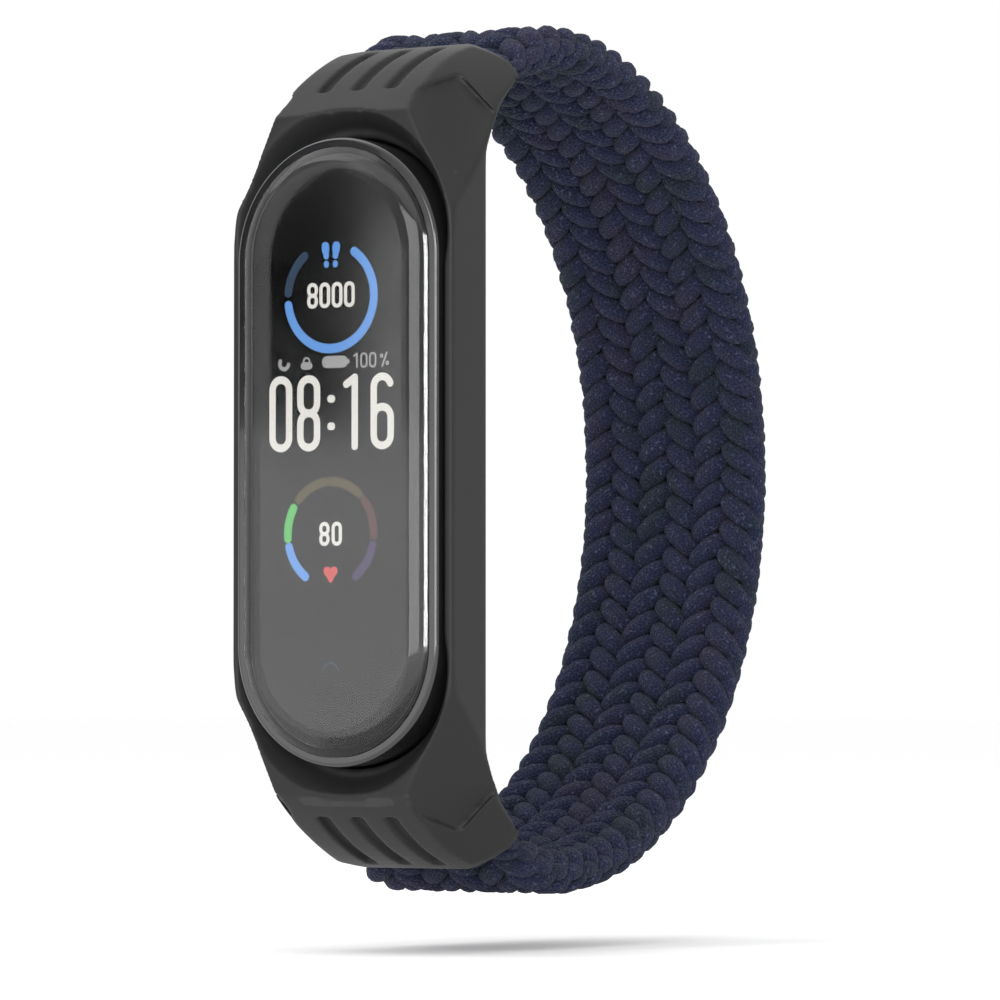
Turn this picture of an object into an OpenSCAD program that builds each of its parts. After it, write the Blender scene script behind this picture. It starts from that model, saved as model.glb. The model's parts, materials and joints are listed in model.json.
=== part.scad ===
// Fitness tracker band: a capsule tracker in a moulded frame, worn on a braided elastic loop.
// Millimetres. The origin is the centre of the loop, on the axis of the wrist.
// +X runs along the wrist, -Y is the way the screen faces, +Z is up the screen.

/* [Tracker] */
// Length of the tracker capsule
tracker_l = 46.95; // [46.5:0.05:47.4]
// Width of the tracker capsule
tracker_w = 18.15; // [18:0.05:18.3]
// Thickness from the glass to the back
tracker_t = 12.45; // [12.4:0.05:12.8]
// Width of the lit area of the display
display_w = 13.4; // [12:0.1:14]
// Length of the display panel
display_l = 30; // [26:0.5:32]

/* [Frame] */
// Half of the frame's width beside the capsule
frame_half_w = 9.95; // [9.85:0.05:10.2]
// How far the frame's front lip sits behind the glass
lip_back = 1.4; // [1.2:0.1:1.8]
// Depth of the frame's back face behind the glass
frame_back = 6.1; // [6:0.1:6.6]
// Radius of the curved nose over each strap end
nose_r = 19; // [18.8:0.05:19.2]
// Radius of the crown across each end
crown_r = 17.5; // [17:0.5:21]
// Grip grooves on each nose
groove_count = 3; // [1:1:4]
// Distance between grip grooves
groove_pitch = 3.1; // [2:0.1:3.4]

/* [Strap] */
// Width of the braid
strap_w = 16.8; // [15:0.1:17]
// Thickness of the braid
strap_t = 3.5; // [3:0.1:3.8]
// Half of the loop's depth, on the braid's centre line
loop_a = 28.1; // [27:0.1:30]
// Half of the loop's height, on the braid's centre line
loop_b = 31.5; // [31.3:0.1:32]

/* [Spring bars] */
// Outer radius of a bar's tube
bar_r = 0.75; // [0.7:0.01:0.8]
// Half of the tube's length
bar_half_l = 5.8; // [5.6:0.05:5.95]

/* [Hidden] */
$fn = 64;
eps = 0.01;

// Where things lie, measured behind the glass (depth) or forward from the capsule's back (level)
front_y = -25;
back_y = front_y + tracker_t;
capsule_r = tracker_w / 2;
capsule_run = tracker_l - tracker_w;

// Levels inside the capsule, from its back
shoulder_level = 7.3;
split_level = 5.2;
seal_t = 0.2;
rear_r = capsule_r - 0.5;
case_wall = 0.9;
upper_bore_r = rear_r - 0.52;
glass_r = capsule_r - 0.75;
glass_seat_level = tracker_t - 1.4;
glass_bottom = glass_seat_level + 0.15;
rim_level = tracker_t - 0.75;
rim_round = 0.3;
glass_flat_r = glass_r - 1.95;
glass_edge_drop = 0.7;
display_top = glass_bottom - 0.05;
display_t = 1.3;
display_y = 1.6;
chassis_level = 8.9;
chassis_t = 0.6;
board_level = 7.5;
board_t = 0.6;
board_r = 6.8;
board_top = board_level + board_t;

// Sensor on the back
window_size = [6.4, 10.4];
window_corner = 2;
window_t = 0.9;
baffle_t = 0.9;
sensor_level = window_t + baffle_t + 0.05;
led_y = 3.3;

// Charging pads
pad_r = 1.1;
pad_x = 2.2;
pad_y = -13.5;

// Coin motor
motor_r = 4;
motor_h = 2.7;
motor_level = 3.1;
motor_y = -15.4;
motor_wall = 0.25;
shaft_r = 0.4;
shaft_clearance = 0.05;

// Battery
battery_size = [12.4, 22, 3.6];
battery_y = 3.6;
battery_level = 3;

// Nose arc and the mouth, slanted below and steeper above, as [depth behind the glass, height]
nose_pos = [15.5, 12.6];
mouth_low = [8.2, 26.1];
mouth_mid = [10.9, 28.6];
mouth_lean = 0.3;
crown_top = 31.85;
lip_half_w = 8;

// Rounded cheeks, hollows and grooves. Places are [x, depth, height].
cheek_turn = 35;
cheek_r = 19.5;
cheek_pos = [9.99, 7, 15];
scoop_r = 9;
scoop_pos = [15, -0.2, 27.2];
scoop_turn = [-17.9, -21.7, 0];
cheek_line = 35.4;
cheek_slant = 45;
groove_w = 0.95;
groove_deep = 0.6;
groove_from = 3.4;
groove_to = 10.2;

// Spring bar axis and the strap end's line out of the sleeve
bar_depth = 8.4;
bar_z = 27.6;
end_angle = 20;
end_r = 1.4;
end_t = 2.3;
end_half_w = 6;
end_reach = 2.4;
sleeve_gap = 0.15;
slot_from = 1.3;
slot_half_t = 1.3;
slot_half_w = 6.75;
tip_r = 0.37;
tip_end = 6.8;
tip_head_r = 0.46;
tube_bore_r = 0.5;

// Braid path
loop_y = front_y + 20.6;
strap_start = 10.8;
swell_from = 13.4;
swell_to = 17;
join_to = 18.5;
thin_half = 1.05;
narrow_by = 0.5;
strap_rings = 72;
strap_sides = 16;

// ---- helpers ----

function smooth(t) = let (k = max(0, min(1, t))) k * k * (3 - 2 * k);

// Stands a part drawn flat on its back up in the band, with its back face at the capsule's back.
module in_band() {
    translate([0, back_y, 0]) rotate([90, 0, 0]) children();
}

// Extrudes a side profile, drawn as depth behind the glass and height, across the band.
module across(width) {
    translate([0, front_y, 0]) rotate([90, 0, 90]) linear_extrude(width, center = true) children();
}

// A capsule-shaped solid turned from half a section: x is the distance from the middle line, y the level.
module pill(run = capsule_run) {
    for (s = [0, 1])
        rotate([0, 0, 180 * s])
            translate([0, run / 2, 0]) rotate_extrude(angle = 180) children();
    for (s = [0, 1])
        rotate([0, 0, 180 * s])
            translate([0, run / 2, 0]) rotate([90, 0, 0]) linear_extrude(run) children();
}

module pill_plate(r, level, t, run = capsule_run) {
    pill(run) translate([0, level]) square([r, t]);
}

module rounded_plate(size, corner, level, t) {
    translate([0, 0, level]) linear_extrude(t) {
        square([size[0] - 2 * corner, size[1]], center = true);
        square([size[0], size[1] - 2 * corner], center = true);
        for (x = [-1, 1], y = [-1, 1])
            translate([x * (size[0] / 2 - corner), y * (size[1] / 2 - corner)]) circle(corner);
    }
}

module chip(x, y, size) {
    translate([x - size[0] / 2, y - size[1] / 2, board_top]) cube(size);
}

module both_ends(upper) {
    if (upper) children();
    else mirror([0, 0, 1]) children();
}

// ---- tracker capsule ----

module cover_glass() color("#1c1d20") in_band()
    pill() difference() {
        translate([0, glass_bottom]) square([glass_r, tracker_t - glass_bottom]);
        glass_edge_r = (pow(glass_r - glass_flat_r, 2) + pow(glass_edge_drop, 2)) / (2 * glass_edge_drop);
        translate([glass_flat_r, glass_bottom]) difference() {
            square([5, 5]);
            translate([0, tracker_t - glass_bottom - glass_edge_r]) circle(glass_edge_r, $fn = 160);
        }
    }

module glass_adhesive() color("#0b0b0b") in_band()
    pill() translate([upper_bore_r - 0.4, glass_seat_level]) square([glass_r - upper_bore_r + 0.35, glass_bottom - glass_seat_level]);

module display_panel() color("#101216") in_band()
    translate([0, display_y, 0]) rounded_plate([display_w, display_l], 2.4, display_top - display_t, display_t);

// Ribbon that leaves the display's lower edge, turns down and comes back to the board.
module display_flex() {
    start = display_y - display_l / 2;
    flex_t = 0.16;
    top = display_top - display_t;
    bottom = board_top + 0.5;
    bend_r = (top - bottom + flex_t) / 2;
    color("#b5651d") in_band() rotate([90, 0, 90]) linear_extrude(5, center = true) {
        translate([start - 1, top - flex_t]) square([4.5, flex_t]);
        translate([start - 1, bottom - flex_t]) square([1.6, flex_t]);
        translate([start - 1, (top + bottom) / 2 - flex_t]) intersection() {
            difference() {
                circle(bend_r);
                circle(bend_r - flex_t);
            }
            translate([-2 * bend_r, -bend_r]) square([2 * bend_r, 2 * bend_r]);
        }
    }
}

module upper_case() color("#0a0a0c") in_band()
    pill() difference() {
        union() {
            translate([0, split_level + seal_t]) square([rear_r, 3]);
            translate([0, shoulder_level]) square([capsule_r, rim_level - shoulder_level - rim_round]);
            translate([0, rim_level - rim_round - eps]) square([capsule_r - rim_round, rim_round + eps]);
            translate([capsule_r - rim_round, rim_level - rim_round]) circle(rim_round);
        }
        translate([-1, 0]) square([upper_bore_r + 1, glass_seat_level - 0.65]);
        translate([-1, 0]) square([upper_bore_r - 0.45 + 1, tracker_t]);
        translate([-1, glass_seat_level]) square([glass_r + 0.05 + 1, tracker_t]);
    }

module case_seal() color("#3a3a3a") in_band()
    pill() translate([upper_bore_r, split_level]) square([rear_r - upper_bore_r - 0.05, seal_t]);

// Half-section of the rear cover, which tapers in towards its flat back, and of the space inside it
module rear_section() polygon([[0, 0], [5.1, 0], [5.8, 0.3], [8.2, 3.9], [rear_r, 4.7], [rear_r, 20], [0, 20]]);
module rear_space() polygon([[0, case_wall], [4.7, case_wall], [5.2, 1.2], [7.25, 4.1], [rear_r - case_wall, 4.9],
    [rear_r - case_wall, 20], [0, 20]]);

module rear_cover() color("#161617") in_band() difference() {
    pill() difference() {
        union() {
            intersection() {
                rear_section();
                square([20, split_level]);
            }
            translate([0, split_level - 1]) square([upper_bore_r - 0.05, 2]);
        }
        rear_space();
    }
    rounded_plate(window_size, window_corner, -1, 3);
    for (s = [-1, 1]) translate([s * pad_x, pad_y, -1]) cylinder(r = pad_r, h = 3);
}

module inner_chassis() color("#5a5c60") in_band() difference() {
    union() {
        pill_plate(upper_bore_r - 0.1, chassis_level, chassis_t);
        // Rail round the board, standing on it
        pill() translate([board_r - 0.5, board_top]) square([0.9, chassis_level - board_top + eps]);
    }
    translate([-3.5, display_y - display_l / 2 - 3, chassis_level - 2]) cube([7, 4.5, 4]);
}

module main_board() color("#14532d") in_band() pill_plate(board_r, board_level, board_t);

module processor_chip() color("#1b1b1d") in_band() chip(0, 2.5, [5, 5, 0.65]);
module memory_chip() color("#222326") in_band() chip(-2.2, 9.4, [4, 3, 0.6]);
module power_chip() color("#222326") in_band() chip(3.2, 8.8, [2.4, 2.4, 0.5]);
module motion_sensor() color("#2b2c30") in_band() chip(3.4, -4, [2.5, 3, 0.7]);
module clock_crystal() color("#c8c8c8") in_band() chip(-3.4, -3, [1.6, 2, 0.5]);

module board_capacitors() color("#b8a078") in_band() {
    for (i = [0:5]) chip(-4.6, 6 - 1.4 * i + (i > 2 ? -4.4 : 0), [0.6, 1, 0.35]);
    for (i = [0:5]) chip(4.9, 5.6 - 1.4 * i, [0.6, 1, 0.35]);
    for (i = [0:3]) chip(-1.8 + 1.2 * i, 13.4, [0.6, 1, 0.35]);
}

module flex_connector() color("#e8e4d8") in_band() chip(0, -12, [5.6, 2.2, 0.3]);

module antenna_strip() color("#c98b4b") in_band()
    translate([0, capsule_run / 2, split_level + 1.1]) rotate([0, 0, 20]) rotate_extrude(angle = 140)
        translate([board_r + 0.45, 0]) square([0.18, 2]);

module battery_cell() color("#b9bcc2") in_band()
    translate([0, battery_y, 0])
        rounded_plate([battery_size[0], battery_size[1]], 1.2, battery_level, battery_size[2]);

module battery_guard_board() color("#14532d") in_band()
    translate([-5.4, battery_y + battery_size[1] / 2 + 0.05, battery_level + 0.5]) cube([10.8, 1.8, 2.4]);

module motor_case() color("#c2c5c9") in_band() translate([0, motor_y, motor_level]) difference() {
    cylinder(r = motor_r, h = motor_h);
    translate([0, 0, motor_wall]) cylinder(r = motor_r - motor_wall, h = motor_h - 2 * motor_wall);
}

module motor_shaft() color("#e0e2e5") in_band()
    translate([0, motor_y, motor_level + motor_wall]) cylinder(r = shaft_r, h = motor_h - 2 * motor_wall);

// Half-disc of heavy alloy, hanging below its shaft.
module motor_weight() color("#8b8f96") in_band() translate([0, motor_y, motor_level + 0.6]) difference() {
    union() {
        cylinder(r = 1.1, h = 1.5);
        intersection() {
            cylinder(r = 3.45, h = 1.5);
            translate([-4, -4, 0]) cube([8, 4, 1.5]);
        }
    }
    translate([0, 0, -1]) cylinder(r = shaft_r + shaft_clearance, h = 4);
}

module sensor_board() color("#14532d") in_band()
    rounded_plate([window_size[0] + 3.6, window_size[1] + 2.6], 1.2, sensor_level, 0.4);

module sensor_window() color("#2a0f12") in_band()
    rounded_plate([window_size[0] - 0.06, window_size[1] - 0.06], window_corner - 0.03, 0, window_t);

// Wall that keeps the LEDs' light from reaching the photodiode directly.
module light_baffle() color("#070707") in_band() difference() {
    rounded_plate([window_size[0] + 1.2, window_size[1] + 1.2], window_corner, window_t, baffle_t);
    for (s = [-1, 1]) translate([-1.3, s * led_y - 0.9, 0]) cube([2.6, 1.8, 4]);
    translate([-1.4, -1.4, 0]) cube([2.8, 2.8, 4]);
}

module green_leds() color("#3ddc6b") in_band()
    for (s = [-1, 1]) translate([-0.8, s * led_y - 0.6, sensor_level - 0.6]) cube([1.6, 1.2, 0.6]);

module photodiode() color("#303845") in_band() translate([-1.1, -1.1, sensor_level - 0.6]) cube([2.2, 2.2, 0.6]);

module charge_pads() color("#d4af37") in_band()
    for (s = [-1, 1]) translate([s * pad_x, pad_y, 0.05]) cylinder(r = pad_r - 0.02, h = 1.2);

module charge_magnets() color("#a9acb2") in_band()
    for (s = [-1, 1]) translate([s * 3.6 - 1, pad_y + 1.2, case_wall]) cube([2, 4.2, 1.1]);

// ---- frame ----

// Upper end of the frame's side profile: lip, nose, slanted mouth and the back of the sleeve.
module nose_profile() intersection() {
    translate(nose_pos) circle(nose_r, $fn = 128);
    polygon([[lip_back, 15], [lip_back, 34], [mouth_mid[0] + (34 - mouth_mid[1]) * mouth_lean, 34], mouth_mid, mouth_low,
        [7.6, 25.1], [6.9, 24], [frame_back + 0.1, 22.5], [frame_back, 21], [frame_back, 15]]);
}

module frame_profile() {
    for (s = [0, 1]) mirror([0, s]) nose_profile();
    translate([lip_back, -15.5]) square([frame_back - lip_back, 31]);
}

// Inner lip that closes each pocket from below.
module inner_lip() across(2 * lip_half_w) polygon([[6, 23], [7.4, 23.6], [9.6, 25.3], [10.3, 26.1], [11.2, 27],
    [9.2, 27.2], [6, 27.2]]);

// Front outline of the frame: straight sides and crowned ends.
module frame_outline() intersection() {
    square([2 * frame_half_w, 2 * crown_top + 2], center = true);
    intersection_for(s = [-1, 1]) translate([0, s * (crown_top - crown_r)]) union() {
        circle(crown_r, $fn = 160);
        translate([-crown_r, s > 0 ? -80 : 0]) square([2 * crown_r, 80]);
    }
}

module frame_envelope() {
    intersection() {
        across(24) frame_profile();
        translate([0, front_y, 0]) rotate([90, 0, 0]) translate([0, 0, -20]) linear_extrude(22) frame_outline();
    }
    for (s = [0, 1]) mirror([0, 0, s]) inner_lip();
}

// Rounds one front corner off a sleeve, back to a cheek that runs away from the tongue's ridge.
module cheek_cut() mirror([1, 0, 0])
    translate([cheek_pos[0], front_y + cheek_pos[1], cheek_pos[2]]) rotate([0, 0, cheek_turn]) difference() {
        translate([-40, -30, 0]) cube([40, 60, 40]);
        rotate([90, 0, 0]) cylinder(r = cheek_r, h = 70, center = true, $fn = 160);
    }

// Long concave hollow down each corner, shallow beside the capsule and ended by the sleeve's cheek.
module corner_scoop() intersection() {
    translate([scoop_pos[0], front_y + scoop_pos[1], scoop_pos[2]]) rotate(scoop_turn)
        cylinder(r = scoop_r, h = 40, center = true, $fn = 128);
    translate([cheek_line, 0, 0]) rotate([0, cheek_slant, 0]) translate([-40, -50, -60]) cube([80, 50, 60]);
}

// Shallow dish round each end of the capsule.
module end_dish() translate([0, front_y + lip_back - 1, 16.2]) rotate([-90, 0, 0])
    cylinder(r1 = 10.35, r2 = 8.1, h = 3);

module grip_grooves() for (i = [0:groove_count - 1])
    translate([(i - (groove_count - 1) / 2) * groove_pitch, 0, 0]) across(groove_w) intersection() {
        translate(nose_pos) difference() {
            circle(nose_r + 1, $fn = 128);
            circle(nose_r - groove_deep, $fn = 128);
        }
        translate([groove_from, 26]) square([groove_to - groove_from, 8]);
    }

// Side profile of a strap end: an eye round the spring bar and a tongue towards the braid.
module end_section(gap, reach) translate([bar_depth, bar_z]) rotate(end_angle) {
    circle(end_r + gap);
    translate([0, -end_t / 2 - gap]) square([reach, end_t + 2 * gap]);
}

// Slot with round edges that the braid runs out of.
module braid_slot() translate([0, front_y + bar_depth, bar_z]) rotate([end_angle, 0, 0])
    translate([0, slot_from, 0]) rotate([-90, 0, 0]) linear_extrude(12) {
        square([2 * slot_half_w, 2 * slot_half_t], center = true);
        for (s = [-1, 1]) translate([s * slot_half_w, 0]) circle(slot_half_t);
    }

// Pocket for the strap end and the start of the braid, open at the mouth.
module strap_pocket() {
    across(2 * (end_half_w + sleeve_gap)) end_section(sleeve_gap, slot_from + 1);
    braid_slot();
    translate([-tip_end - 0.1, front_y + bar_depth, bar_z]) rotate([0, 90, 0])
        cylinder(r = tip_r + 0.08, h = 2 * tip_end + 0.2);
}

module band_frame() color("#3c3d3f") difference() {
    frame_envelope();
    in_band() pill_plate(capsule_r + 0.1, shoulder_level - 0.05, 8);
    in_band() pill_plate(rear_r + 0.12, 0, 10);
    for (s = [0, 1]) mirror([0, 0, s]) {
        end_dish();
        grip_grooves();
        strap_pocket();
        for (x = [0, 1]) mirror([x, 0, 0]) {
            corner_scoop();
            cheek_cut();
        }
    }
}

// ---- spring bars ----

// Puts a bar part, drawn along +X at the origin, on the bar's axis.
module on_bar(upper) both_ends(upper) translate([0, front_y + bar_depth, bar_z]) children();

module along_x() rotate([0, 90, 0]) children();

module bar_tube(upper) color("#c9ccd1") on_bar(upper) along_x() difference() {
    translate([0, 0, -bar_half_l]) cylinder(r = bar_r, h = 2 * bar_half_l);
    translate([0, 0, -bar_half_l + 0.4]) cylinder(r = tube_bore_r, h = 2 * bar_half_l - 0.8);
    translate([0, 0, -bar_half_l - 1]) cylinder(r = tip_r + 0.05, h = 2 * bar_half_l + 2);
}

// Pin that the spring pushes out of one end of the tube. side is 1 towards +X and -1 towards -X.
module bar_tip(upper, side) color("#dadcdf") on_bar(upper) mirror([side < 0 ? 1 : 0, 0, 0]) along_x() {
    translate([0, 0, bar_half_l - 2]) cylinder(r = tip_head_r, h = 1.55);
    translate([0, 0, bar_half_l - 0.5]) cylinder(r = tip_r, h = tip_end - bar_half_l + 0.5);
}

// Fine coil between the two pins' heads.
coil_turns = 12;
coil_steps = 8;
coil_r = 0.33;
wire_r = 0.09;
coil_half_l = bar_half_l - 2.15;

function coil_point(i, corner) =
    let (
        n = coil_turns * coil_steps,
        a = 360 * i / coil_steps,
        r = coil_r + wire_r * cos(90 * corner),
        x = -coil_half_l + 2 * coil_half_l * i / n + wire_r * sin(90 * corner))
    [x, r * cos(a), r * sin(a)];

module bar_spring(upper) color("#8e9196") on_bar(upper) {
    n = coil_turns * coil_steps;
    points = [for (i = [0:n], c = [0:3]) coil_point(i, c)];
    sides = [for (i = [0:n - 1], c = [0:3]) [4 * i + c, 4 * i + (c + 1) % 4, 4 * i + 4 + (c + 1) % 4, 4 * i + 4 + c]];
    triangles = [for (q = sides) each [[q[0], q[1], q[2]], [q[0], q[2], q[3]]]];
    caps = [[3, 2, 1], [3, 1, 0], [4 * n, 4 * n + 1, 4 * n + 2], [4 * n, 4 * n + 2, 4 * n + 3]];
    polyhedron(points, concat(triangles, caps));
}

// ---- strap ----

// Moulded block that grips the ends of the braid's cords and turns on the spring bar.
module strap_end(upper) color("#1f2430") both_ends(upper) difference() {
    across(2 * end_half_w) end_section(0, end_reach);
    translate([-20, front_y + bar_depth, bar_z]) along_x() cylinder(r = bar_r + 0.05, h = 40);
}

// The braid's centre line: an ellipse that dips into the sleeves. t runs from 0 at the upper mouth to 1 at the lower.
start_angle = acos((front_y + strap_start - loop_y) / loop_a);
function strap_angle(t) = start_angle * (1 - 2 * t);
function strap_depth(t) = loop_y + loop_a * cos(strap_angle(t)) - front_y;
function line_z(depth) = bar_z + (depth - bar_depth) * tan(end_angle);
function strap_dip(t) =
    let (z0 = loop_b * sqrt(1 - pow((front_y + swell_from - loop_y) / loop_a, 2)))
    (z0 - line_z(swell_from)) * (1 - smooth((strap_depth(t) - swell_from) / (join_to - swell_from)));
function strap_point(t) =
    let (a = strap_angle(t), z = loop_b * sin(a))
    [loop_y + loop_a * cos(a), z - sign(z) * strap_dip(t)];
function strap_normal(t) =
    let (d = strap_point(min(1, t + 0.002)) - strap_point(max(0, t - 0.002)))
    [-d[1], d[0]] / norm(d);
function half_t(t) = thin_half + (strap_t / 2 - thin_half) * smooth((strap_depth(t) - swell_from) / (swell_to - swell_from));
function half_w(t) = strap_w / 2 - narrow_by * (1 - smooth((strap_depth(t) - swell_from) / (swell_to - swell_from)));

// Section of the braid: a flat oval, round at both edges.
function oval(a, p) = let (c = cos(a), s = sin(a)) [sign(c) * pow(abs(c), p), sign(s) * pow(abs(s), p)];

module braided_strap() color("#232c45") {
    rings = [for (i = [0:strap_rings]) let (
        t = i / strap_rings,
        c = strap_point(t),
        n = strap_normal(t))
        [for (k = [0:strap_sides - 1]) let (
            o = oval(360 * k / strap_sides, 0.62),
            q = c + n * o[1] * half_t(t))
            [o[0] * half_w(t), q[0], q[1]]]];
    last = strap_rings * strap_sides;
    walls = [for (i = [0:strap_rings - 1], k = [0:strap_sides - 1]) let (
        a = i * strap_sides + k,
        b = i * strap_sides + (k + 1) % strap_sides)
        each [[a, b, b + strap_sides], [a, b + strap_sides, a + strap_sides]]];
    caps = [for (k = [1:strap_sides - 2]) each [[0, k + 1, k], [last, last + k, last + k + 1]]];
    polyhedron([for (r = rings) each r], concat(walls, caps));
}

// ---- output ----

cover_glass();
glass_adhesive();
display_panel();
display_flex();
upper_case();
case_seal();
rear_cover();
inner_chassis();
main_board();
processor_chip();
memory_chip();
power_chip();
motion_sensor();
clock_crystal();
board_capacitors();
flex_connector();
antenna_strip();
battery_cell();
battery_guard_board();
motor_case();
motor_shaft();
motor_weight();
sensor_board();
sensor_window();
light_baffle();
green_leds();
photodiode();
charge_pads();
charge_magnets();
band_frame();
bar_tube(true);  // upper_bar_tube
bar_tube(false);  // lower_bar_tube
bar_spring(true);  // upper_bar_spring
bar_spring(false);  // lower_bar_spring
bar_tip(true, -1);  // upper_bar_left_tip
bar_tip(true, 1);  // upper_bar_right_tip
bar_tip(false, -1);  // lower_bar_left_tip
bar_tip(false, 1);  // lower_bar_right_tip
strap_end(true);  // upper_strap_end
strap_end(false);  // lower_strap_end
braided_strap();
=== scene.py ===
import json
import math

import bmesh
import bpy
import numpy as np
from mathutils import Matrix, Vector


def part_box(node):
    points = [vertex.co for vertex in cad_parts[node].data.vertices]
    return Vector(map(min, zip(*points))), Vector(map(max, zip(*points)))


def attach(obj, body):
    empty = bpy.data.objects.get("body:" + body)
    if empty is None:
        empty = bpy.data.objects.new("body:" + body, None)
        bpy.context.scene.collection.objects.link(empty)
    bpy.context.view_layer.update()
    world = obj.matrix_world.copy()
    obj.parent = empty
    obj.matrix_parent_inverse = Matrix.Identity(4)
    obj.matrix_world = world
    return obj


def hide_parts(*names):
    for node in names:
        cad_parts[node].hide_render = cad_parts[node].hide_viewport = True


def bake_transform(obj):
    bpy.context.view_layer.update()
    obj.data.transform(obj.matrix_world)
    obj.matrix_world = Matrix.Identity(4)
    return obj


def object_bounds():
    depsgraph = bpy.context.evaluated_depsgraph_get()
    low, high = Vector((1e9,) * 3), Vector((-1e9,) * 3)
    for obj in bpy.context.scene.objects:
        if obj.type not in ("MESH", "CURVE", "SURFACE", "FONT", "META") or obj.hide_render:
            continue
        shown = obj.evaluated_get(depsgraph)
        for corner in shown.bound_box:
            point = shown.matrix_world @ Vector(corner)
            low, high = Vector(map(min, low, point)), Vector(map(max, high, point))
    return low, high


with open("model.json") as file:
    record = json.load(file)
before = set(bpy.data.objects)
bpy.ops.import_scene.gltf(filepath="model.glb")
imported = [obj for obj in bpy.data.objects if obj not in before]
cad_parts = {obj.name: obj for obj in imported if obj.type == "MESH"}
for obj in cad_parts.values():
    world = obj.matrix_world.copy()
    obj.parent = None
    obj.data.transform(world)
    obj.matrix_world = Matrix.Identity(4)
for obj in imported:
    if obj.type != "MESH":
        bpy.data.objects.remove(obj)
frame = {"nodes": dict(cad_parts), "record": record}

scene = bpy.context.scene
nodes = frame["nodes"]
mm = 0.001
cadBox = [list(corner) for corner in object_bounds()]
print("frame loaded")


camera = dict(azimuth=35, elevation=-2.5, distance=0.45, lens=218, aimRight=0.01263, aimUp=-0.0036)
floorSpec = dict(drop=0.0042, radius=30, colour=(0.99, 0.99, 0.99))
skySpec = dict(colour=(1, 1, 1), strength=1.0)
softboxes = [  # where each one stands round the object, its size in metres and its power in watts
    dict(name="keyLeft", azimuth=-60, elevation=48, distance=0.6, width=0.5, height=0.5, power=1.0),
    dict(name="glassSheen", azimuth=-27, elevation=-1, distance=0.35, width=0.14, height=0.1, power=0.04),
    dict(name="edgeBand", azimuth=6, elevation=3, distance=0.6, width=0.3, height=0.4, power=1.7),
    dict(name="edgeStrip", azimuth=35, elevation=3, distance=0.6, width=0.05, height=0.3, power=1.4),
    dict(name="topFill", azimuth=10, elevation=78, distance=0.6, width=0.5, height=0.5, power=0.5),
]
# a dark card that shades the glass's upper left
darkCard = dict(azimuth=-46, elevation=19, distance=0.26, width=0.14, height=0.15)


def direction(azimuth, elevation):
    a, e = math.radians(azimuth), math.radians(elevation)
    return Vector((math.sin(a) * math.cos(e), -math.cos(a) * math.cos(e), math.sin(e)))


def makeCamera():
    glassLow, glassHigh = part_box("cover_glass")
    glassCentre = Vector((0, glassLow.y, (glassLow.z + glassHigh.z) / 2))
    back = direction(camera["azimuth"], camera["elevation"])
    right = Vector((0, 0, 1)).cross(back).normalized()
    up = back.cross(right)
    place = glassCentre + back * camera["distance"]
    aim = glassCentre + right * camera["aimRight"] + up * camera["aimUp"]
    data = bpy.data.cameras.new("camera")
    data.lens = camera["lens"]
    data.clip_start, data.clip_end = 0.01, 100
    obj = bpy.data.objects.new("camera", data)
    scene.collection.objects.link(obj)
    obj.location = place
    obj.rotation_mode = "QUATERNION"
    obj.rotation_quaternion = (aim - place).to_track_quat("-Z", "Y")
    scene.camera = obj


def makeFloor():
    bm = bmesh.new()
    bmesh.ops.create_circle(bm, cap_ends=True, segments=96, radius=floorSpec["radius"])
    bmesh.ops.translate(bm, verts=bm.verts, vec=(0, 0, cadBox[0][2] - floorSpec["drop"]))
    mesh = bpy.data.meshes.new("floor")
    bm.to_mesh(mesh)
    bm.free()
    floor = bpy.data.objects.new("floor", mesh)
    scene.collection.objects.link(floor)
    mat = bpy.data.materials.new("paleFloor")
    mat.use_nodes = True
    shader = mat.node_tree.nodes["Principled BSDF"]
    shader.inputs["Base Color"].default_value = (*floorSpec["colour"], 1)
    shader.inputs["Roughness"].default_value = 0.9
    shader.inputs["Specular IOR Level"].default_value = 0.1
    mesh.materials.append(mat)


def makeDarkCard():
    back = direction(darkCard["azimuth"], darkCard["elevation"])
    bm = bmesh.new()
    bmesh.ops.create_grid(bm, x_segments=1, y_segments=1, size=0.5)
    bmesh.ops.scale(bm, verts=bm.verts, vec=(darkCard["width"], darkCard["height"], 1))
    bmesh.ops.rotate(bm, verts=bm.verts, matrix=(-back).to_track_quat("-Z", "Y").to_matrix())
    bmesh.ops.translate(bm, verts=bm.verts, vec=back * darkCard["distance"])
    mesh = bpy.data.meshes.new("darkCard")
    bm.to_mesh(mesh)
    bm.free()
    card = bpy.data.objects.new("dark_card", mesh)
    scene.collection.objects.link(card)
    card.visible_camera = False
    card.visible_shadow = False
    mat = bpy.data.materials.new("darkCard")
    mat.use_nodes = True
    mat.node_tree.nodes["Principled BSDF"].inputs["Base Color"].default_value = (0.01, 0.01, 0.01, 1)
    mat.node_tree.nodes["Principled BSDF"].inputs["Roughness"].default_value = 1
    mesh.materials.append(mat)


def makeLights():
    world = bpy.data.worlds.new("studio")
    world.use_nodes = True
    background = world.node_tree.nodes["Background"]
    background.inputs["Color"].default_value = (*skySpec["colour"], 1)
    background.inputs["Strength"].default_value = skySpec["strength"]
    scene.world = world
    for box in softboxes:
        data = bpy.data.lights.new(box["name"], "AREA")
        data.shape = "RECTANGLE"
        data.size, data.size_y = box["width"], box["height"]
        data.energy = box["power"]
        light = bpy.data.objects.new(box["name"], data)
        scene.collection.objects.link(light)
        back = direction(box["azimuth"], box["elevation"])
        light.location = back * box["distance"]
        light.rotation_mode = "QUATERNION"
        light.rotation_quaternion = (-back).to_track_quat("-Z", "Y")
        light.visible_camera = False
    scene.view_settings.view_transform = "Standard"


makeCamera()
makeFloor()
makeDarkCard()
makeLights()
print("camera, floor and lights made")


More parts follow.
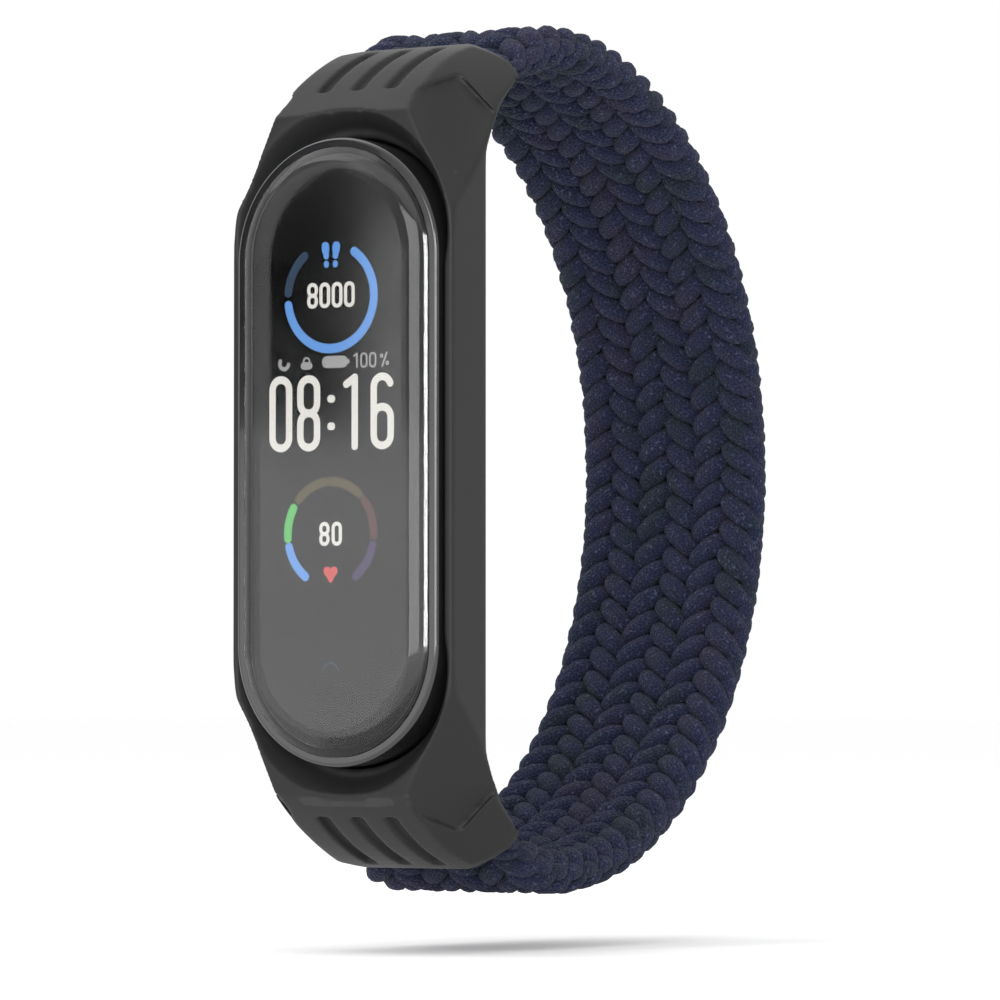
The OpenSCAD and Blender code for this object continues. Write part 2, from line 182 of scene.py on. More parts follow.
def newGroup(name, inputs, outputs):
    group = bpy.data.node_groups.new(name, "ShaderNodeTree")
    for label, kind, value in inputs:
        socket = group.interface.new_socket(label, in_out="INPUT", socket_type="NodeSocket" + kind)
        if value is not None:
            socket.default_value = value
    for label, kind in outputs:
        group.interface.new_socket(label, in_out="OUTPUT", socket_type="NodeSocket" + kind)
    return group, group.nodes.new("NodeGroupInput"), group.nodes.new("NodeGroupOutput")


def add(tree, kind, links=None, **settings):
    # one node: settings are its properties, links are its sockets' values or the sockets that feed them
    node = tree.nodes.new("ShaderNode" + kind)
    for key, value in settings.items():
        setattr(node, key, value)
    for key, value in (links or {}).items():
        if isinstance(value, bpy.types.NodeSocket):
            tree.links.new(value, node.inputs[key])
        else:
            node.inputs[key].default_value = value
    return node


def grainGroup():
    # fine moulded grain over broad, faint mottling
    inputs = [("Vector", "Vector", None), ("Grain", "Float", 5000), ("Mottle", "Float", 300)]
    group, ins, outs = newGroup("fineGrain", inputs, [("Height", "Float"), ("Mask", "Float")])
    where = ins.outputs["Vector"]
    fine = add(group, "TexNoise", {"Vector": where, "Scale": ins.outputs["Grain"], "Detail": 3})
    broad = add(group, "TexNoise", {"Vector": where, "Scale": ins.outputs["Mottle"], "Detail": 4})
    both = add(group, "Math", {0: fine.outputs["Fac"], 1: broad.outputs["Fac"]}, operation="MULTIPLY")
    group.links.new(fine.outputs["Fac"], outs.inputs["Height"])
    group.links.new(both.outputs[0], outs.inputs["Mask"])
    return group


def edgeHighlightGroup():
    # 1 along the outer edges, in patches: where a painted highlight lightens the surface
    inputs = [("Vector", "Vector", None), ("From", "Float", 0.52), ("To", "Float", 0.62)]
    group, ins, outs = newGroup("paintedEdgeHighlight", inputs, [("Mask", "Float")])
    geometry = add(group, "NewGeometry")
    edge = add(group, "MapRange", {"Value": geometry.outputs["Pointiness"],
                                   "From Min": ins.outputs["From"], "From Max": ins.outputs["To"]})
    patch = add(group, "TexNoise", {"Vector": ins.outputs["Vector"], "Scale": 900, "Detail": 5})
    both = add(group, "Math", {0: edge.outputs[0], 1: patch.outputs["Fac"]}, operation="MULTIPLY")
    group.links.new(both.outputs[0], outs.inputs["Mask"])
    return group


def knitGroup():
    # rows of small V stitches round a cord; U runs round the cord and V along it, one unit a stitch
    group, ins, outs = newGroup("knitStitch", [("UV", "Vector", None), ("Wobble", "Float", 1.1)],
                                [("Height", "Float"), ("Strand", "Float")])
    noise = add(group, "TexNoise", {"Vector": ins.outputs["UV"], "Scale": 0.7, "Detail": 3})
    shift = add(group, "VectorMath", {0: noise.outputs["Color"], 1: (0.5, 0.5, 0.5)}, operation="SUBTRACT")
    scaled = add(group, "VectorMath", {0: shift.outputs[0], "Scale": ins.outputs["Wobble"]},
                 operation="SCALE")
    moved = add(group, "VectorMath", {0: ins.outputs["UV"], 1: scaled.outputs[0]}, operation="ADD")
    parts = add(group, "SeparateXYZ", {0: moved.outputs[0]})
    wale = add(group, "Math", {0: parts.outputs[0], 1: 1.0}, operation="PINGPONG")
    lean = add(group, "Math", {0: wale.outputs[0], 1: 0.9, 2: parts.outputs[1]}, operation="MULTIPLY_ADD")
    turn = add(group, "Math", {0: lean.outputs[0], 1: 2 * math.pi}, operation="MULTIPLY")
    course = add(group, "Math", {0: turn.outputs[0]}, operation="SINE")
    rise = add(group, "MapRange", {"Value": course.outputs[0], "From Min": -1, "From Max": 1})
    arch = add(group, "Math", {0: wale.outputs[0], 1: math.pi}, operation="MULTIPLY")
    bow = add(group, "Math", {0: arch.outputs[0]}, operation="SINE")
    height = add(group, "Math", {0: rise.outputs[0], 1: bow.outputs[0]}, operation="MULTIPLY")
    fibre = add(group, "TexNoise", {"Vector": moved.outputs[0], "Scale": 3.5, "Detail": 4, "Roughness": 0.7})
    mixed = add(group, "Math", {0: fibre.outputs["Fac"], 1: 0.8, 2: height.outputs[0]},
                operation="MULTIPLY_ADD")
    group.links.new(mixed.outputs[0], outs.inputs["Height"])
    group.links.new(height.outputs[0], outs.inputs["Strand"])
    return group


def pixelGroup():
    # rows and columns of square dots, 1 on a dot and 0 between
    inputs = [("Vector", "Vector", None), ("Pitch", "Float", 0.09 * mm)]
    group, ins, outs = newGroup("pixelGrid", inputs, [("Mask", "Float")])
    parts = add(group, "SeparateXYZ", {0: ins.outputs["Vector"]})
    lines = []
    for axis in (0, 2):
        count = add(group, "Math", {0: parts.outputs[axis], 1: ins.outputs["Pitch"]}, operation="DIVIDE")
        saw = add(group, "Math", {0: count.outputs[0], 1: 1.0}, operation="PINGPONG")
        lines.append(add(group, "MapRange", {"Value": saw.outputs[0], "From Min": 0.05, "From Max": 0.3}))
    both = add(group, "Math", {0: lines[0].outputs[0], 1: lines[1].outputs[0]}, operation="MULTIPLY")
    group.links.new(both.outputs[0], outs.inputs["Mask"])
    return group


grain, edgeHighlight, knit, pixels = grainGroup(), edgeHighlightGroup(), knitGroup(), pixelGroup()


def place(tree, group, links):
    node = tree.nodes.new("ShaderNodeGroup")
    node.node_tree = group
    for key, value in links.items():
        if isinstance(value, bpy.types.NodeSocket):
            tree.links.new(value, node.inputs[key])
        else:
            node.inputs[key].default_value = value
    return node


def newMaterial(name, **values):
    mat = bpy.data.materials.new(name)
    mat.use_nodes = True
    shader = mat.node_tree.nodes["Principled BSDF"]
    for key, value in values.items():
        label = {"metallic": "Metallic", "coat": "Coat Weight", "coatRoughness": "Coat Roughness",
                 "ior": "IOR", "sheen": "Sheen Weight", "sheenRoughness": "Sheen Roughness",
                 "transmission": "Transmission Weight", "specular": "Specular IOR Level",
                 "roughness": "Roughness"}[key]
        shader.inputs[label].default_value = value
    return mat, mat.node_tree, shader


def shades(colour, spread):
    return [(*[min(1, c * k) for c in colour], 1) for k in (1 - spread, 1 + spread)]


def moulded(name, colour, rough=(0.45, 0.6), grainSize=0.2, mottleSize=3, bump=0.15, spread=0.12, **values):
    # plastic, rubber or metal: grain in the surface, faint mottling in the colour and the gloss
    mat, tree, shader = newMaterial(name, **values)
    coords = add(tree, "TexCoord")
    detail = place(tree, grain, {"Vector": coords.outputs["Object"],
                                 "Grain": 1 / (grainSize * mm), "Mottle": 1 / (mottleSize * mm)})
    dark, light = shades(colour, spread)
    ramp = add(tree, "Mix", data_type="RGBA")
    ramp.inputs[6].default_value, ramp.inputs[7].default_value = dark, light
    spreadMask = add(tree, "MapRange", {"Value": detail.outputs["Mask"], "From Min": 0.1, "From Max": 0.45})
    tree.links.new(spreadMask.outputs[0], ramp.inputs[0])
    gloss = add(tree, "MapRange", {"Value": detail.outputs["Mask"], "From Min": 0.1, "From Max": 0.45,
                                   "To Min": rough[0], "To Max": rough[1]})
    bumpNode = add(tree, "Bump", {"Height": detail.outputs["Height"], "Strength": bump,
                                  "Distance": grainSize * mm * 0.3})
    tree.links.new(ramp.outputs[2], shader.inputs["Base Color"])
    tree.links.new(gloss.outputs[0], shader.inputs["Roughness"])
    tree.links.new(bumpNode.outputs[0], shader.inputs["Normal"])
    return mat


def frameRubber():
    # soft-touch rubber, with a painted highlight that lightens its outer edges
    mat = moulded("frameRubber", (0.0165, 0.0166, 0.017), rough=(0.42, 0.54), grainSize=0.12,
                  mottleSize=6, bump=0.22, spread=0.1, specular=0.22)
    tree = mat.node_tree
    shader = tree.nodes["Principled BSDF"]
    body = shader.inputs["Base Color"].links[0].from_socket
    coords = add(tree, "TexCoord")
    edge = place(tree, edgeHighlight, {"Vector": coords.outputs["Object"], "From": 0.53, "To": 0.66})
    highlightedEdges = add(tree, "Mix", data_type="RGBA")
    tree.links.new(edge.outputs["Mask"], highlightedEdges.inputs[0])
    tree.links.new(body, highlightedEdges.inputs[6])
    # painted highlight: the lighter colour laid along the edges
    highlightedEdges.inputs[7].default_value = (0.04, 0.04, 0.041, 1)
    tree.links.new(highlightedEdges.outputs[2], shader.inputs["Base Color"])
    return mat


def braidedYarn():
    # knitted elastic yarn: fine stitches with painted shade between them and a painted highlight on their
    # tops, painted glints as small pale specks, and faint colour drift
    mat, tree, shader = newMaterial("braidedYarn", sheen=0.05, sheenRoughness=0.5, specular=0.12)
    uv = add(tree, "UVMap", uv_map="UVMap")
    coords = add(tree, "TexCoord")
    stitch = place(tree, knit, {"UV": uv.outputs["UV"]})
    drift = add(tree, "TexNoise", {"Vector": coords.outputs["Object"], "Scale": 260, "Detail": 2})
    hue = add(tree, "ValToRGB", {"Fac": drift.outputs["Fac"]})
    stops = hue.color_ramp.elements
    stops[0].position, stops[0].color = 0.34, (0.011, 0.017, 0.03, 1)
    stops[1].position, stops[1].color = 0.66, (0.018, 0.017, 0.04, 1)
    middle = stops.new(0.5)
    middle.color = (0.013, 0.0165, 0.043, 1)
    # painted shade between the stitches and a painted highlight on their tops: the colour follows the stitch
    # height
    stitchShade = add(tree, "Mix", data_type="RGBA", blend_type="MULTIPLY")
    stitchShade.inputs[0].default_value = 1
    stitchLightAndShade = add(tree, "MapRange", {"Value": stitch.outputs["Height"], "From Min": 0.15, "From Max": 1.1,
                                  "To Min": 0.5, "To Max": 1.6})
    tree.links.new(hue.outputs[0], stitchShade.inputs[6])
    tree.links.new(stitchLightAndShade.outputs[0], stitchShade.inputs[7])
    # painted glints: small pale specks laid into the colour
    speck = add(tree, "TexNoise", {"Vector": coords.outputs["Object"], "Scale": 3800, "Detail": 1})
    glint = add(tree, "MapRange", {"Value": speck.outputs["Fac"], "From Min": 0.6, "From Max": 0.78,
                                   "To Max": 0.7})
    glintSpecks = add(tree, "Mix", data_type="RGBA")
    tree.links.new(glint.outputs[0], glintSpecks.inputs[0])
    tree.links.new(stitchShade.outputs[2], glintSpecks.inputs[6])
    glintSpecks.inputs[7].default_value = (0.09, 0.105, 0.18, 1)
    tree.links.new(glintSpecks.outputs[2], shader.inputs["Base Color"])
    rough = add(tree, "MapRange", {"Value": stitch.outputs["Height"], "To Min": 0.95, "To Max": 0.7})
    tree.links.new(rough.outputs[0], shader.inputs["Roughness"])
    bump = add(tree, "Bump", {"Height": stitch.outputs["Height"], "Strength": 0.9, "Distance": 0.12 * mm})
    tree.links.new(bump.outputs[0], shader.inputs["Normal"])
    return mat


def clearGlass(name, colour=(1, 1, 1), rough=0.0):
    # glass with faint smears; its roughness spreads the reflections a little
    mat, tree, shader = newMaterial(name, transmission=1.0, ior=1.45, roughness=rough)
    shader.inputs["Base Color"].default_value = (*colour, 1)
    coords = add(tree, "TexCoord")
    smear = add(tree, "TexNoise", {"Vector": coords.outputs["Object"], "Scale": 180, "Detail": 3})
    gloss = add(tree, "MapRange", {"Value": smear.outputs["Fac"], "From Min": 0.4, "From Max": 0.7,
                                   "To Min": rough, "To Max": rough + 0.03})
    tree.links.new(gloss.outputs[0], shader.inputs["Roughness"])
    return mat


def litPixels(name, colour, strength=1.0):
    # light from the panel, broken up by its fine grid of dots
    mat, tree, shader = newMaterial(name, roughness=0.4, specular=0.1)
    shader.inputs["Base Color"].default_value = (0.004, 0.004, 0.005, 1)
    coords = add(tree, "TexCoord")
    grid = place(tree, pixels, {"Vector": coords.outputs["Object"]})
    paint = add(tree, "Mix", data_type="RGBA")
    tree.links.new(grid.outputs["Mask"], paint.inputs[0])
    paint.inputs[6].default_value = (*[c * 0.72 for c in colour], 1)
    paint.inputs[7].default_value = (*colour, 1)
    tree.links.new(paint.outputs[2], shader.inputs["Emission Color"])
    shader.inputs["Emission Strength"].default_value = strength
    return mat


def circuitBoard():
    # solder mask with tracks: straight runs of copper showing through
    mat, tree, shader = newMaterial("boardGreen", coat=0.4)
    coords = add(tree, "TexCoord")
    cells = add(tree, "TexVoronoi", {"Vector": coords.outputs["Object"], "Scale": 900, "Randomness": 0.35},
                distance="CHEBYCHEV", feature="F2")
    lines = add(tree, "TexVoronoi", {"Vector": coords.outputs["Object"], "Scale": 900, "Randomness": 0.35},
                distance="CHEBYCHEV")
    gap = add(tree, "Math", {0: cells.outputs["Distance"], 1: lines.outputs["Distance"]},
              operation="SUBTRACT")
    track = add(tree, "MapRange", {"Value": gap.outputs[0], "From Min": 0.06, "From Max": 0.1,
                                   "To Min": 1, "To Max": 0})
    paint = add(tree, "Mix", data_type="RGBA")
    tree.links.new(track.outputs[0], paint.inputs[0])
    paint.inputs[6].default_value = (0.012, 0.09, 0.04, 1)
    paint.inputs[7].default_value = (0.05, 0.2, 0.08, 1)
    tree.links.new(paint.outputs[2], shader.inputs["Base Color"])
    bump = add(tree, "Bump", {"Height": track.outputs[0], "Strength": 0.3, "Distance": 0.02 * mm})
    tree.links.new(bump.outputs[0], shader.inputs["Normal"])
    shader.inputs["Roughness"].default_value = 0.35
    return mat


finishes = {  # one per material slot of the record
    "screen_glass": lambda: clearGlass("screenGlass", rough=0.07),
    "black_seal": lambda: moulded("blackSeal", (0.012, 0.012, 0.012), rough=(0.6, 0.75)),
    "display_black": lambda: moulded(
        "displayBlack", (0.003, 0.003, 0.0035), rough=(0.8, 0.9), bump=0.02, specular=0.02),
    "amber_film": lambda: moulded(
        "amberFilm", (0.42, 0.17, 0.03), rough=(0.25, 0.4), grainSize=0.5, coat=0.3),
    "gloss_case": lambda: moulded("glossCase", (0.010, 0.010, 0.011), rough=(0.1, 0.16), bump=0.02, coat=0.6),
    "satin_case": lambda: moulded(
        "satinCase", (0.018, 0.018, 0.019), rough=(0.35, 0.45), grainSize=0.15, bump=0.1),
    "grey_alloy": lambda: moulded(
        "greyAlloy", (0.4, 0.41, 0.43), rough=(0.3, 0.45), metallic=1.0, grainSize=0.3),
    "board_green": circuitBoard,
    "chip_black": lambda: moulded("chipBlack", (0.022, 0.022, 0.024), rough=(0.5, 0.62), grainSize=0.08),
    "nickel": lambda: moulded("nickelPlate", (0.72, 0.71, 0.69), rough=(0.18, 0.3), metallic=1.0, bump=0.05),
    "ceramic_tan": lambda: moulded("ceramicTan", (0.46, 0.36, 0.24), rough=(0.5, 0.65), grainSize=0.1),
    "ivory_plastic": lambda: moulded("ivoryPlastic", (0.72, 0.69, 0.6), rough=(0.4, 0.5)),
    "copper": lambda: moulded("etchedCopper", (0.78, 0.42, 0.25), rough=(0.25, 0.4), metallic=1.0),
    "foil_silver": lambda: moulded(
        "foilSilver", (0.6, 0.61, 0.63), rough=(0.22, 0.42), metallic=1.0, grainSize=1.4, bump=0.5),
    "tungsten": lambda: moulded(
        "sinteredTungsten", (0.26, 0.26, 0.27), rough=(0.45, 0.6), metallic=1.0, grainSize=0.1),
    "window_tint": lambda: clearGlass("windowTint", colour=(0.25, 0.03, 0.04), rough=0.05),
    "led_yellow": lambda: moulded("ledPhosphor", (0.7, 0.74, 0.2), rough=(0.3, 0.4), grainSize=0.1),
    "photodiode_dark": lambda: moulded("polishedSilicon", (0.03, 0.035, 0.08), rough=(0.12, 0.2), bump=0.02),
    "gold": lambda: moulded("goldPlate", (0.9, 0.66, 0.28), rough=(0.18, 0.3), metallic=1.0, bump=0.05),
    "frame_rubber": frameRubber,
    "spring_steel": lambda: moulded(
        "springSteel", (0.58, 0.58, 0.58), rough=(0.25, 0.38), metallic=1.0, grainSize=0.15),
    "strap_end_plastic": lambda: moulded("strapEndPlastic", (0.018, 0.021, 0.034), rough=(0.45, 0.6)),
    "braided_yarn": braidedYarn,
}
materials = {slot: make() for slot, make in finishes.items()}

for part in frame["record"]["subparts"]:
    mesh = nodes[part["node"]].data
    mesh.materials.clear()
    mesh.materials.append(materials[part["material_slot"]])
print("materials made:", len(materials))


def newPiece(name, mesh, body, slotName, replaced=(), finish=None):
    obj = bpy.data.objects.new(name, mesh)
    scene.collection.objects.link(obj)
    mesh.materials.clear()
    mesh.materials.append(finish or materials[slotName])
    for polygon in mesh.polygons:
        polygon.use_smooth = True
    if body:
        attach(obj, body)
    if replaced:
        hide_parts(*replaced)
    return obj


def settled(obj):
    # the mesh with its modifiers applied, and the object it came from removed
    graph = bpy.context.evaluated_depsgraph_get()
    mesh = bpy.data.meshes.new_from_object(obj.evaluated_get(graph))
    bpy.data.objects.remove(obj)
    return mesh


frameSpec = dict(voxel=0.19, rounds=5, factor=0.5)


def mouldedFrame():
    bm = bmesh.new()
    bm.from_mesh(nodes["band_frame"].data)
    bmesh.ops.remove_doubles(bm, verts=bm.verts, dist=1e-6)
    mesh = bpy.data.meshes.new("frameShell")
    bm.to_mesh(mesh)
    bm.free()
    rough = bpy.data.objects.new("frameRough", mesh)
    scene.collection.objects.link(rough)
    remesh = rough.modifiers.new("remesh", "REMESH")
    remesh.mode = "VOXEL"
    remesh.voxel_size = frameSpec["voxel"] * mm
    smooth = rough.modifiers.new("smooth", "SMOOTH")
    smooth.factor, smooth.iterations = frameSpec["factor"], frameSpec["rounds"]
    shell = settled(rough)
    shell.name = "frameShell"
    return newPiece("moulded_frame", shell, "band", "frame_rubber", ["band_frame"])


mouldedFrame()
print("moulded frame made")


screen = dict(maskRadius=7.6, maskRun=14.4, maskBack=1.285, lightBack=1.265, capSides=18, shift=-0.5)
colours = dict(
    white=(0.86, 0.84, 0.79), grey=(0.4, 0.4, 0.4), blue=(0.14, 0.36, 0.82), dimBlue=(0.03, 0.062, 0.11),
    green=(0.12, 0.56, 0.14), olive=(0.095, 0.075, 0.03), red=(0.72, 0.1, 0.1), dimRed=(0.09, 0.03, 0.03),
    purple=(0.055, 0.035, 0.11))


def blackMask():
    # the printed black behind the glass, which the lit marks show through
    bm = bmesh.new()
    bmesh.ops.create_grid(bm, x_segments=1, y_segments=1, size=1)
    for vert in bm.verts:
        vert.co = (vert.co.x * screen["maskRadius"], 0, vert.co.y * screen["maskRun"])
    for end in (1, -1):
        cap = bmesh.ops.create_circle(bm, cap_ends=True, segments=64, radius=screen["maskRadius"])
        for vert in cap["verts"]:
            vert.co = (vert.co.x, 0, vert.co.y + end * screen["maskRun"])
    return flatPiece("screen_mask", bm, screen["maskBack"], materials["display_black"])


def flatPiece(name, bm, back, finish):
    # a flat drawing in x and height, set this far behind the glass's face
    shift = 0 if name == "screen_mask" else screen["shift"]
    for vert in bm.verts:
        vert.co = ((vert.co.x + shift) * mm, frontY + back * mm, vert.co.z * mm)
    for face in bm.faces:
        face.normal_update()
        if face.normal.y > 0:
            face.normal_flip()
    mesh = bpy.data.meshes.new(name)
    bm.to_mesh(mesh)
    bm.free()
    return newPiece(name, mesh, "tracker", "display_black", finish=finish)


def stroke(bm, path, width, closed=False):
    # a line of even width with round ends
    path = np.array(path, float)
    if closed:
        path = np.vstack([path, path[:1]])
    count = len(path)
    run = np.gradient(path, axis=0)
    if closed:
        run[0] = run[-1] = path[1] - path[-2]
    run /= np.linalg.norm(run, axis=1)[:, None]
    strip = bmesh.ops.create_grid(bm, x_segments=1, y_segments=count - 1, size=1)
    for vert in strip["verts"]:
        row = round((vert.co.y + 1) / 2 * (count - 1))
        side = width / 2 * (1 if vert.co.x > 0 else -1)
        vert.co = (path[row][0] + side * run[row][1], 0, path[row][1] - side * run[row][0])
    for tip in () if closed else (path[0], path[-1]):
        cap = bmesh.ops.create_circle(bm, cap_ends=True, segments=screen["capSides"], radius=width / 2)
        for vert in cap["verts"]:
            vert.co = (tip[0] + vert.co.x, 0, tip[1] + vert.co.y)


def arcPath(x, z, radius, start, end, squash=1.0):
    # clock angles in degrees: 0 is straight up and they grow clockwise
    steps = max(6, int(abs(end - start) / 6))
    turn = np.radians(np.linspace(start, end, steps + 1))
    return np.stack([x + radius * squash * np.sin(turn), z + radius * np.cos(turn)], 1)


def stadium(x, z, width, height):
    r = width / 2
    top = arcPath(x, z + height / 2 - r, r, -90, 90)
    foot = arcPath(x, z - height / 2 + r, r, 90, 270)
    return np.vstack([top, foot])


def digit(bm, value, x, z, width, height, line):
    # tall rounded figures drawn with one pen
    w, h = width - line, height - line
    half = h / 2
    if value == "0":
        stroke(bm, stadium(x, z, w, h), line, True)
    elif value == "8":
        for end in (1, -1):
            stroke(bm, stadium(x, z + end * half / 2, w, half), line, True)
    elif value == "6":
        stroke(bm, stadium(x, z - h * 0.22, w, h * 0.56), line, True)
        stem = [(x - w / 2, z - h * 0.2), (x - w / 2, z + half - w / 2)]
        stroke(bm, np.vstack([stem, arcPath(x, z + half - w / 2, w / 2, -90, 70)]), line)
    elif value == "1":
        stroke(bm, [(x + w * 0.15, z - half), (x + w * 0.15, z + half)], line)
        stroke(bm, [(x + w * 0.15, z + half), (x - w * 0.35, z + half - w * 0.32)], line)
    elif value == ":":
        for end in (1, -1):
            stroke(bm, [(x - line * 0.12, z + end * h * 0.2), (x + line * 0.12, z + end * h * 0.2)], line)
    elif value == "%":
        stroke(bm, [(x - w * 0.4, z - half), (x + w * 0.4, z + half)], line)
        for end in (1, -1):
            dot = arcPath(x - end * w * 0.5, z + end * half * 0.55, w * 0.2, 0, 360)[:-1]
            stroke(bm, dot, line * 0.8, True)


def figures(name, text, xs, z, width, height, line, finish):
    bm = bmesh.new()
    for value, x in zip(text, xs):
        digit(bm, value, x, z, width, height, line)
    return flatPiece(name, bm, screen["lightBack"], finish)


def arcMark(name, z, start, end, finish, radius=3.9, width=0.7):
    bm = bmesh.new()
    stroke(bm, arcPath(0, z, radius, start, end), width)
    return flatPiece(name, bm, screen["lightBack"], finish)


def statusIcons(finish):
    bm = bmesh.new()
    z = 6.7
    stroke(bm, arcPath(-4.25, z, 0.4, 100, 300), 0.3)       # moon
    stroke(bm, [(-2.45, z - 0.22), (-1.95, z - 0.22)], 0.56)      # lock and its shackle
    stroke(bm, arcPath(-2.2, z + 0.1, 0.27, -90, 90), 0.14)
    stroke(bm, [(-0.35, z), (1.1, z)], 0.9)         # battery
    stroke(bm, [(1.62, z - 0.1), (1.62, z + 0.1)], 0.16)
    flatPiece("status_icons", bm, screen["lightBack"], finish)


def footprints(finish):
    bm = bmesh.new()
    for side in (-1, 1):
        stroke(bm, [(side * 0.5, 15.35), (side * 0.47, 15.05)], 0.68)
        stroke(bm, [(side * 0.47, 15.05), (side * 0.42, 14.62)], 0.5)
        stroke(bm, [(side * 0.41, 14.05), (side * 0.4, 13.97)], 0.46)
    flatPiece("step_icon", bm, screen["lightBack"], finish)


def heartIcon(finish):
    bm = bmesh.new()
    z = -9.1
    for side in (-1, 1):
        stroke(bm, [(side * 0.31, z + 0.24), (side * 0.3, z + 0.2)], 0.66)
        stroke(bm, [(side * 0.3, z + 0.02), (0, z - 0.48)], 0.32)
    stroke(bm, [(0, z), (0, z - 0.42)], 0.36)
    flatPiece("heart_icon", bm, screen["lightBack"], finish)


def makeScreen():
    lit = {name: litPixels(name + "Light", colour) for name, colour in colours.items()}
    blackMask()
    arcMark("steps_done", 11.6, 33, 262, lit["blue"])
    arcMark("steps_left", 11.6, 276, 322, lit["dimBlue"])
    footprints(lit["blue"])
    figures("step_count", "8000", (-1.66, -0.55, 0.57, 1.68), 11.7, 0.98, 1.93, 0.29, lit["white"])
    statusIcons(lit["grey"])
    figures("charge_level", "100%", (2.3, 3.0, 3.8, 4.85), 6.75, 0.66, 1.15, 0.15, lit["grey"])
    figures("clock", "08:16", (-4.55, -2.0, 0.05, 1.95, 4.65), 2.93, 2.1, 5.7, 0.58, lit["white"])
    pulse = [("pulse_low", 216, 256, "blue"), ("pulse_calm", 266, 300, "green"),
             ("pulse_light", 312, 350, "olive"), ("pulse_warm", 0, 40, "olive"),
             ("pulse_hard", 52, 92, "dimRed"), ("pulse_peak", 104, 144, "purple")]
    for name, start, end, colour in pulse:
        arcMark(name, -6.1, start, end, lit[colour])
    figures("pulse_rate", "80", (-0.56, 0.56), -6.1, 0.94, 1.8, 0.29, lit["white"])
    heartIcon(lit["red"])
    arcMark("touch_mark", -16.4, -80, 80, lit["dimBlue"], radius=0.7, width=0.12)


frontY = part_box("cover_glass")[0].y
makeScreen()
print("screen made")


braid = dict(
    cords=13, pitch=2.18, column=1.3, edgeReach=7.7, lift=0.84, wide=0.9, thick=0.86, waist=0.2,
    sides=20, ringStep=0.2, stitchesRound=18, stitchLength=0.3, lump=0.035, evening=2.4,
    lineSamples=6000, cordSamples=14000)
loop = dict(
    halfDepth=28.1, halfHeight=31.5, thickness=3.5, width=16.8, frontDepth=20.6,
    start=10.8, swellFrom=13.4, swellTo=17, joinTo=18.5, thinHalf=1.05, narrowBy=0.5,
    barDepth=8.4, barHeight=27.6, lineAngle=20)


def eased(value, low, high):
    k = np.clip((value - low) / (high - low), 0, 1)
    return k * k * (3 - 2 * k)


def loopLine(count):
    # the braid's centre line from the upper sleeve round the back to the lower one, in mm behind the glass
    a, b, centre = loop["halfDepth"], loop["halfHeight"], loop["frontDepth"]
    turn = math.acos((loop["start"] - centre) / a)
    angle = np.linspace(turn, -turn, count)
    depth, height = centre + a * np.cos(angle), b * np.sin(angle)
    fullHeight = b * math.sqrt(1 - ((loop["swellFrom"] - centre) / a) ** 2)
    slope = math.tan(math.radians(loop["lineAngle"]))
    lineHeight = loop["barHeight"] + (loop["swellFrom"] - loop["barDepth"]) * slope
    dip = (fullHeight - lineHeight) * (1 - eased(depth, loop["swellFrom"], loop["joinTo"]))
    return depth, height - np.sign(height) * dip


def cordLine(k):
    # one cord's centre line and the size of its section, ring by ring
    depth, height = loopLine(braid["lineSamples"])
    step = np.hypot(np.diff(depth), np.diff(height))
    along = np.concatenate([[0], np.cumsum(step)])
    total = along[-1]
    s = np.linspace(0, total, braid["cordSamples"])
    cords, column, reach = braid["cords"], braid["column"], braid["edgeReach"]
    phase = (s / (braid["pitch"] * cords) + k / cords) % 1 * 2 * cords
    going = phase < cords
    p = np.where(going, phase, 2 * cords - phase)       # crossings at whole numbers, edges at 0 and cords
    turn = cords - 2 * reach / column       # how far from an edge a cord starts to turn back
    bend = column / (2 * turn)
    x = column * (p - cords / 2)
    x = np.where(p < turn, bend * p ** 2 - reach, x)
    x = np.where(p > cords - turn, reach - bend * (cords - p) ** 2, x)
    wave = np.sin(np.pi / 2 * np.clip(p - 0.5, 0, cords - 1))       # over two crossings, then under two
    over = np.sin(np.pi / 2 * wave) * np.where(going, 1, -1)
    centreDepth, centreHeight = np.interp(s, along, depth), np.interp(s, along, height)
    dy, dz = np.gradient(centreDepth, s), np.gradient(centreHeight, s)
    size = np.hypot(dy, dz)
    normal = np.stack([np.zeros_like(s), -dz / size, dy / size], 1)
    grown = eased(centreDepth, loop["swellFrom"], loop["swellTo"])
    squash = (loop["thinHalf"] + (loop["thickness"] / 2 - loop["thinHalf"]) * grown) / (loop["thickness"] / 2)
    narrow = 1 - loop["narrowBy"] / (loop["width"] / 2) * (1 - grown)
    rise = (over * braid["lift"] * squash)[:, None]
    centre = np.stack([x * narrow, centreDepth, centreHeight], 1) + normal * rise
    swell = 1 - braid["waist"] * (1 - np.abs(wave))     # fullest in mid-float, slim where it dives
    return centre, normal, braid["wide"] * swell, braid["thick"] * swell * squash


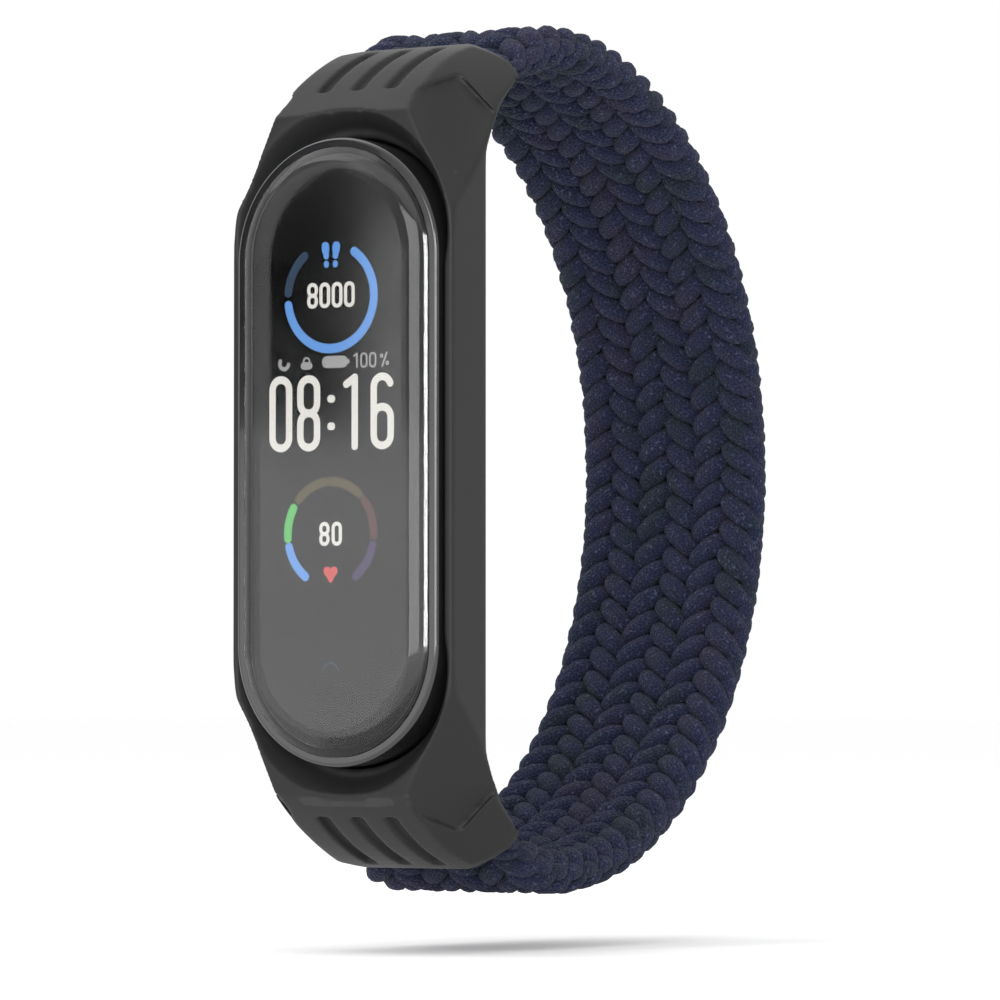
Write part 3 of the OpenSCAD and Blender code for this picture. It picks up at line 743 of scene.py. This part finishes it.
def braidedCord(k, generator):
    centre, normal, wide, thick = cordLine(k)
    run = np.concatenate([[0], np.cumsum(np.linalg.norm(np.diff(centre, axis=0), axis=1))])
    rings = int(run[-1] / braid["ringStep"])
    at = np.linspace(0, run[-1], rings)
    centre, normal = [np.stack([np.interp(at, run, v[:, i]) for i in range(3)], 1) for v in (centre, normal)]
    wide, thick = np.interp(at, run, wide), np.interp(at, run, thick)
    tangent = np.gradient(centre, at, axis=0)
    tangent /= np.linalg.norm(tangent, axis=1)[:, None]
    up = normal - tangent * (normal * tangent).sum(1)[:, None]
    up /= np.linalg.norm(up, axis=1)[:, None]
    side = np.cross(tangent, up)
    sides = braid["sides"]
    bm = bmesh.new()
    bm.loops.layers.uv.new("UVMap")
    bmesh.ops.create_grid(bm, x_segments=sides, y_segments=rings - 1, size=1, calc_uvs=True)
    mesh = bpy.data.meshes.new(f"cord{k + 1}")
    bm.to_mesh(mesh)
    bm.free()
    flat = np.zeros(len(mesh.vertices) * 3)
    mesh.vertices.foreach_get("co", flat)
    flat = flat.reshape(-1, 3)
    column = np.rint((flat[:, 0] + 1) / 2 * sides).astype(int)
    row = np.rint((flat[:, 1] + 1) / 2 * (rings - 1)).astype(int)
    angle = 2 * np.pi * (column % sides) / sides
    lumps = generator.normal(0, 1, (rings, sides))
    evened = lumps + np.roll(lumps, 1, 0) + np.roll(lumps, -1, 0) + np.roll(lumps, 2, 0)
    lumps = (evened + np.roll(lumps, 1, 1) + np.roll(lumps, -1, 1)) / braid["evening"]
    swell = 1 + braid["lump"] * lumps[row, column % sides]
    points = centre[row] + (side[row] * (np.cos(angle) * wide[row] * swell)[:, None]
                            + up[row] * (np.sin(angle) * thick[row] * swell)[:, None])
    points[:, 1] += frontY / mm
    mesh.vertices.foreach_set("co", (points * mm).astype(np.float32).ravel())
    uvs = mesh.uv_layers["UVMap"]
    loopVerts = np.zeros(len(mesh.loops), np.int32)
    mesh.loops.foreach_get("vertex_index", loopVerts)
    u = column[loopVerts] / sides * braid["stitchesRound"]
    v = at[row[loopVerts]] / braid["stitchLength"]
    uvs.data.foreach_set("uv", np.stack([u, v], 1).astype(np.float32).ravel())
    bm = bmesh.new()
    bm.from_mesh(mesh)
    bmesh.ops.remove_doubles(bm, verts=bm.verts, dist=1e-7)
    bmesh.ops.holes_fill(bm, edges=[e for e in bm.edges if e.is_boundary], sides=0)
    bmesh.ops.recalc_face_normals(bm, faces=bm.faces)
    bm.to_mesh(mesh)
    bm.free()
    cord = newPiece(f"braid_cord_{k + 1}", mesh, None, "braided_yarn", ["braided_strap"])
    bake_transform(cord)
    return cord


generator = np.random.default_rng(7)
for k in range(braid["cords"]):
    braidedCord(k, generator)
print("braided strap made")
